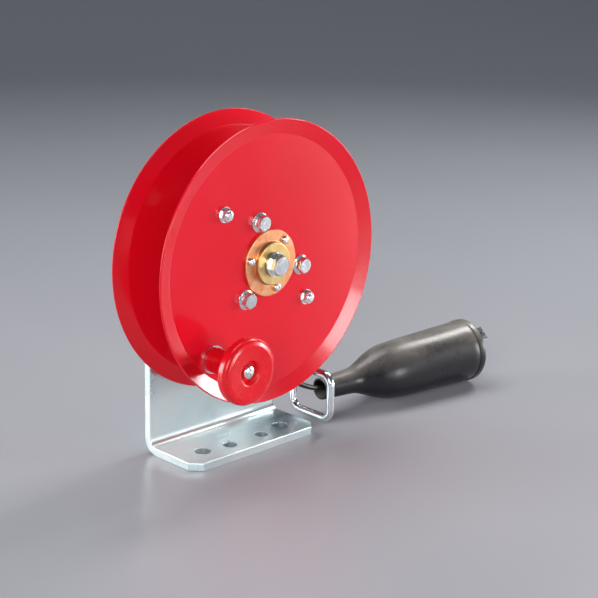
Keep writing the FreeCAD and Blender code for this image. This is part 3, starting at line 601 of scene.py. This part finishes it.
def rubber_boot():
    """Bottle-shaped boot, turned about its axis and then made a little uneven, as thin rubber is."""
    along, across, up = boot_axes()
    sides = 120
    section = boot_section()

    def build(built):
        rings = []
        for station, radius in section:
            ring = []
            slack = smoothstep((station - BOOT_STIFF) / BOOT_SOFTENS)
            for k in range(sides):
                angle = 2 * math.pi * k / sides
                wave = sum(height * math.sin(round_it * angle + phase + station / drift)
                           for height, round_it, phase, drift in BOOT_WAVES)
                reach = (radius + (wave - BOOT_SHRINK) * slack) * MM
                ring.append(built.verts.new(BOOT_MOUTH + along * (station * MM)
                                            + (across * math.cos(angle) + up * math.sin(angle)) * reach))
            rings.append(ring)
        skin(built, rings + rings[:1])

    piece_from("boot_shell", build, "stand", "black_rubber", ("rubber_boot",))


# Threads, welds and spring --------------------------------------------------------------------------------

def thread(name, places, radius, pitch, y_from, y_to, body):
    """Helical thread crests on round ends along Y, at (radius, degrees) places from the axle."""
    depth = 0.3 * pitch
    step = 15
    margin = 0.4 * pitch                          # between the helix and either end
    crest = ((-0.42, -0.05), (-0.07, 1.0), (0.07, 1.0), (0.42, -0.05))     # pitches along, depths out

    def build(built):
        for out_mm, degrees in places:
            centre = on_drum(out_mm * MM, degrees, 0.0)
            count = int((y_to - y_from - 2 * margin) / pitch * 360 / step)
            run_out = min(18, max(count // 4, 1))     # steps over which the crest rises and fades
            sections = []
            for k in range(count + 1):
                angle = math.radians(k * step)
                y = y_from + margin + pitch * k * step / 360
                fade = smoothstep(k / run_out) * smoothstep((count - k) / run_out)
                out = Vector((math.cos(angle), 0, math.sin(angle)))
                sections.append([
                    built.verts.new(centre + Vector((0, y + pitch * offset, 0))
                                    + out * (radius + depth * min(high, fade)))
                    for offset, high in crest
                ])
            skin(built, sections)
            built.faces.new(sections[0])
            built.faces.new(sections[-1])

    piece_from(name, build, body, "zinc_hardware")


def threads():
    """Crests where screws stand out of their nuts: M6 flange bolts, M8 axle bolt and M5 tail screws."""
    nut_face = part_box("flange_bolt_nuts")[1].y
    bolt_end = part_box("flange_bolts")[1].y
    thread("flange_bolt_threads", FLANGE_BOLTS, 3.0 * MM, 1.0 * MM, nut_face - 0.5 * MM, bolt_end, "spool")
    lock_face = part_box("axle_lock_nut")[1].y
    axle_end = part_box("axle_bolt")[1].y
    thread("axle_bolt_thread", [(0, 0)], 4.0 * MM, 1.25 * MM,
           lock_face - 0.4 * MM, axle_end - 0.4 * MM, "stand")
    stub_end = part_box("tail_screws")[0].y
    small_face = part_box("tail_screw_nuts")[0].y
    thread("tail_screw_threads", TAIL_SCREWS, 2.5 * MM, 0.8 * MM,
           stub_end + 0.3 * MM, small_face + 0.4 * MM, "spool")


def weld_beads():
    """Two fillets, above and below the guide loop's rod where it lies along the upright."""
    low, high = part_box("cable_guide_loop")
    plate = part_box("angle_bracket")[1]
    start, end = low.x + 1.5 * MM, plate.x - 1.0 * MM
    root = plate.y - PLATE - WELD_OFF_PLATE
    rod_z = high.z - ROD_RADIUS
    count = 44

    def bead_radius(share):
        """Rippled, and thin at both ends."""
        ends = 0.35 + 0.65 * min(1, 7 * share, 7 * (1 - share))
        return (WELD_RADIUS + 0.16 * MM * math.sin(share * 88)) * ends

    def build(built):
        for side in (-1, 1):
            path = []
            for k in range(count + 1):
                ripple = WELD_RIPPLE * math.sin(k * 1.9 + side)
                path.append(Vector((start + (end - start) * k / count, root + ripple * 0.4,
                                    rod_z + side * (WELD_OUT + ripple))))
            tube(built, path, bead_radius, 12)

    piece_from("loop_welds", build, "stand", "zinc_plate", material="weld_metal")


def clip_spring():
    """Torsion spring round the clip's pin: coil and one leg on the fixed jaw, other leg on the sprung jaw."""
    joint = next(j for j in frame["joints"] if j["name"] == "clip_opening")
    pivot, axis = Vector(joint["pos_m"]), Vector(joint["axis"]).normalized()
    tip = next(m for m in frame["record"]["mounts"] if m["name"] == "clip_jaws")
    ahead = Vector(tip["axis"]).normalized()
    ahead = (ahead - axis * ahead.dot(axis)).normalized()
    lift = ahead.cross(axis)

    def place(x, y, z):
        return pivot + (ahead * x + axis * y + lift * z)

    def on_coil(share):
        angle = math.radians(SPRING_START) + 2 * math.pi * SPRING_TURNS * share
        return place(SPRING_COIL * math.cos(angle), SPRING_HALF_WIDTH * (2 * share - 1),
                     SPRING_COIL * math.sin(angle))

    count = int(SPRING_TURNS * 24)
    wound = [on_coil(k / count) for k in range(count + 1)]
    ahead_of_pin, side, above = SPRING_LEG
    first_end, last_end = place(ahead_of_pin, side, above), place(ahead_of_pin, -side, -above)
    pieces = []
    for name, path, body in (
            ("clip_coil", [first_end.lerp(wound[0], k / 6) for k in range(6)] + wound, "stand"),
            ("clip_coil_leg", [wound[-1].lerp(last_end, k / 6) for k in range(7)], "clip_jaw")):
        pieces.append(piece_from(name, lambda built: tube(built, path, lambda share: SPRING_WIRE, 10),
                                 body, "spring_steel"))
    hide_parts("clip_spring")
    return pieces


cable_piece, cable_exit = free_cable()
wound_cable()
rubber_boot()
threads()
weld_beads()
spring_pieces = clip_spring()


# Stage and light ------------------------------------------------------------------------------------------

def floor():
    """Pale round floor that curves up into a wall, with painted shade that makes it a little darker further out.
    """
    flat, bend, wall, sectors = 1.7, 1.0, 3.2, 96
    profile = [(0.6, 0.0), (flat, 0.0)]
    profile += [(flat + bend * math.sin(a), bend - bend * math.cos(a))
                for a in (math.radians(7.5 * k) for k in range(1, 13))]
    profile += [(flat + bend, wall)]
    mesh = bpy.data.meshes.new("floor")
    built = bmesh.new()
    turns = [2 * math.pi * k / sectors for k in range(sectors)]
    rings = [[built.verts.new((r * math.cos(a), r * math.sin(a), z)) for a in turns] for r, z in profile]
    built.faces.new(rings[0])
    skin(built, rings[::-1])               # from the outside in, so that every face looks up and in
    built.to_mesh(mesh)
    built.free()
    mesh.shade_smooth()
    piece = placed("floor", mesh)
    s = Shader("floor_paint", Metallic=0.0, IOR=1.40)
    x, y, _ = s.separate()
    # Painted shade: the colour darkens with distance from the middle, in place of the lights' falloff across the
    # floor.
    s.set("Base Color", s.ramp(s.math("MULTIPLY", s.diagonal(x, y), 0.4), (0.08, (0.38, 0.385, 0.42)),
                               (0.35, (0.31, 0.325, 0.36)), (0.9, (0.235, 0.25, 0.285))))
    s.set("Roughness", s.ramp(s.noise(5, 2), (0.3, 0.34), (0.7, 0.40)))
    piece.data.materials.append(s.material)


def area_light(name, place, aim, size, power, colour=(1, 1, 1)):
    """Rectangular light at a place, facing a point, with its power in watts."""
    data = bpy.data.lights.new(name, "AREA")
    data.shape = "RECTANGLE"
    data.size, data.size_y = size
    data.energy = power
    data.color = colour
    light = placed(name, data)
    light.location = place
    light.rotation_mode = "QUATERNION"
    light.rotation_quaternion = (Vector(aim) - Vector(place)).to_track_quat("-Z", "Y")


def lights():
    """Soft boxes round the reel and a weak, cool world."""
    middle = (0.03, 0.0, 0.1)
    area_light("overhead", (-0.05, 0.45, 1.4), middle, (1.1, 0.8), 12, (1.0, 0.99, 0.98))
    area_light("right_top", (1.15, 0.10, 1.05), (0.17, 0, 0.04), (0.4, 0.5), 10, (1.0, 0.98, 0.95))
    area_light("front", (0.40, -1.75, 0.27), middle, (0.42, 0.46), 9, (1.0, 0.98, 0.98))
    area_light("right_box", (1.27, -0.75, 0.22), middle, (0.48, 0.38), 12)
    area_light("left_front", (-1.5, -1.0, 0.75), middle, (0.8, 0.8), 16)
    area_light("left_rear", (-1.1, 1.2, 0.30), middle, (0.7, 0.6), 17, (0.97, 0.99, 1.0))
    world = bpy.data.worlds.new("studio")
    world.use_nodes = True
    world.node_tree.nodes["Background"].inputs["Color"].default_value = (0.62, 0.65, 0.72, 1)
    world.node_tree.nodes["Background"].inputs["Strength"].default_value = 0.2
    bpy.context.scene.world = world
    bpy.context.scene.view_settings.view_transform = "Standard"


floor()
lights()

bpy.context.view_layer.update()
